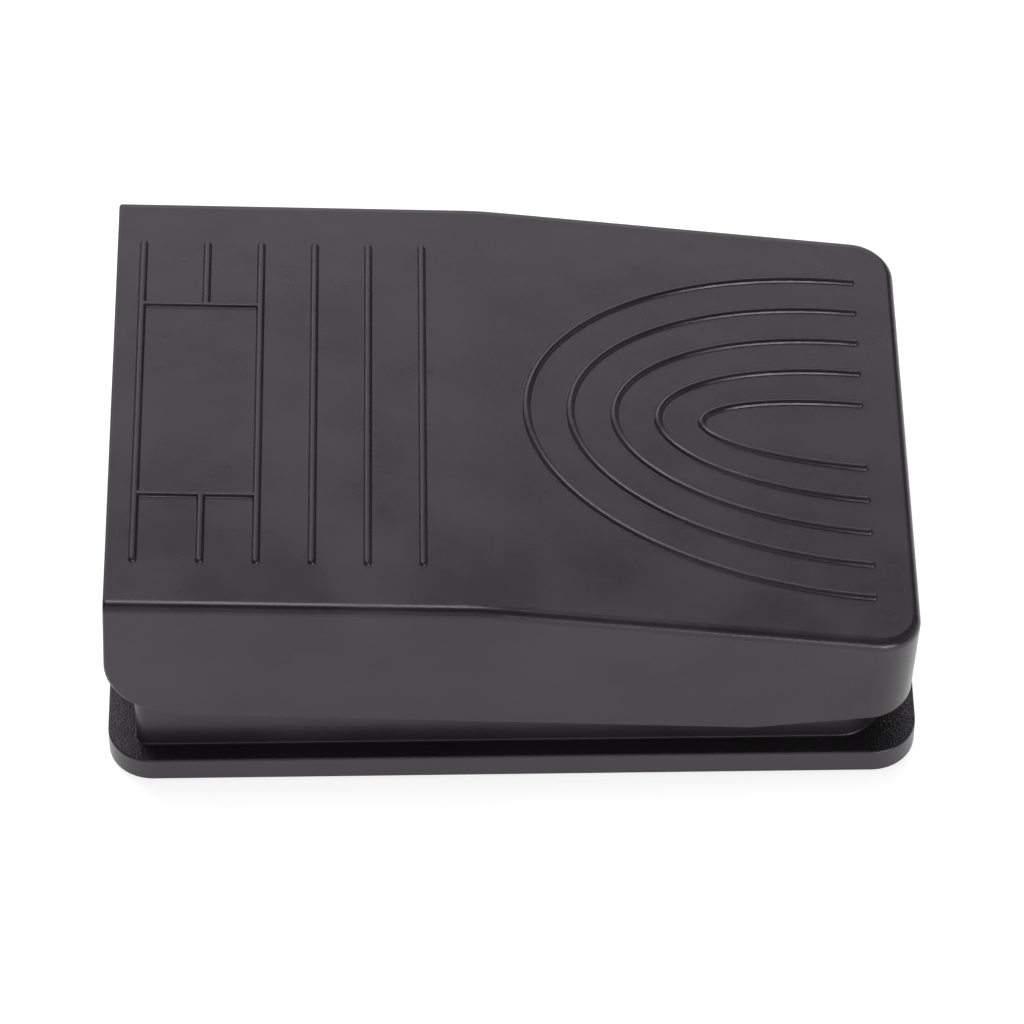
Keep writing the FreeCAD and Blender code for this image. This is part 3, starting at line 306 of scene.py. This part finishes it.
def return_spring(node, material):
    """A wound wire in the place of the CAD spring."""
    low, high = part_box(node)
    radius = (high.x - low.x) / 2 - SPRING_WIRE_RADIUS
    length = high.z - low.z - 2 * SPRING_WIRE_RADIUS
    line = bpy.data.curves.new(node + "_line", "CURVE")
    line.dimensions = "3D"
    line.bevel_depth = SPRING_WIRE_RADIUS
    line.bevel_resolution = 4
    line.use_fill_caps = True
    spline = line.splines.new("POLY")
    points = spring_line(radius, length)
    spline.points.add(len(points) - 1)
    foot = Vector(((low.x + high.x) / 2, (low.y + high.y) / 2, low.z + SPRING_WIRE_RADIUS))
    for target, point in zip(spline.points, points):
        target.co = (*(foot + Vector(point)), 1)
    guide = bpy.data.objects.new(node + "_line", line)
    mesh = bpy.data.meshes.new_from_object(guide)
    mesh.name = node + "_wire"
    bpy.data.objects.remove(guide)
    mesh.materials.append(material)
    mesh.shade_smooth()
    wire = bpy.data.objects.new(node + "_wire", mesh)
    bpy.context.scene.collection.objects.link(wire)
    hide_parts(node)
    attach(wire, "base")
    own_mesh(wire)


def floor():
    """A large pale floor under the feet, with a glow of its own."""
    mesh = bpy.data.meshes.new("floor")
    half = FLOOR_SIDE / 2
    corners = [(-half, -half, 0), (half, -half, 0), (half, half, 0), (-half, half, 0)]
    mesh.from_pydata(corners, [], [(0, 1, 2, 3)])
    finish = Finish("studio_floor", Emission_Color=(1, 1, 1, 1), Emission_Strength=FLOOR_GLOW)
    finish.tint(finish.noise(900, 2), (0.54, 0.54, 0.543), (0.56, 0.56, 0.561))
    finish.roughen(0.62)
    mesh.materials.append(finish.material)
    ground = bpy.data.objects.new("floor", mesh)
    bpy.context.scene.collection.objects.link(ground)


def softbox(name, azimuth, elevation, distance, width, height, power):
    """A soft light that faces the pedal. Azimuth 0 is the camera's side, and 90 the thin end's."""
    lamp = bpy.data.lights.new(name, "AREA")
    lamp.shape = "RECTANGLE"
    lamp.size = width
    lamp.size_y = height
    lamp.energy = power
    turn, rise = math.radians(azimuth), math.radians(elevation)
    toward = Vector((math.sin(turn) * math.cos(rise), -math.cos(turn) * math.cos(rise), math.sin(rise)))
    light = bpy.data.objects.new(name, lamp)
    light.location = toward * distance
    light.rotation_euler = toward.to_track_quat("Z", "Y").to_euler()
    bpy.context.scene.collection.objects.link(light)


def tent():
    """The faint, even white light of a tent all round."""
    world = bpy.data.worlds.new("light_tent")
    world.use_nodes = True
    backdrop = world.node_tree.nodes["Background"]
    backdrop.inputs["Color"].default_value = (1.0, 1.0, 1.0, 1)
    backdrop.inputs["Strength"].default_value = TENT_STRENGTH
    bpy.context.scene.world = world


def camera():
    """The camera, level, looking down at the pedal's long side."""
    turn, rise = CAMERA_AZIMUTH, CAMERA_ELEVATION
    right = Vector((math.cos(turn), math.sin(turn), 0))
    forward = Vector((-math.sin(turn) * math.cos(rise), math.cos(turn) * math.cos(rise), -math.sin(rise)))
    up = right.cross(forward)
    aim = Vector((0, 0, AIM_HEIGHT)) + right * AIM_RIGHT + up * AIM_UP
    lens = bpy.data.cameras.new("camera")
    lens.lens = CAMERA_LENS
    lens.clip_start = 0.01
    view = bpy.data.objects.new("camera", lens)
    view.location = aim - forward * CAMERA_DISTANCE
    view.rotation_euler = forward.to_track_quat("-Z", "Y").to_euler()
    bpy.context.scene.collection.objects.link(view)
    bpy.context.scene.camera = view


finish_of = finishes()
paint_frame(finish_of)
for spring in ("return_spring_front", "return_spring_rear"):
    return_spring(spring, finish_of["spring_steel"])
floor()
tent()
for box in SOFTBOXES:
    softbox(*box)
camera()
bpy.context.scene.view_settings.view_transform = "Standard"
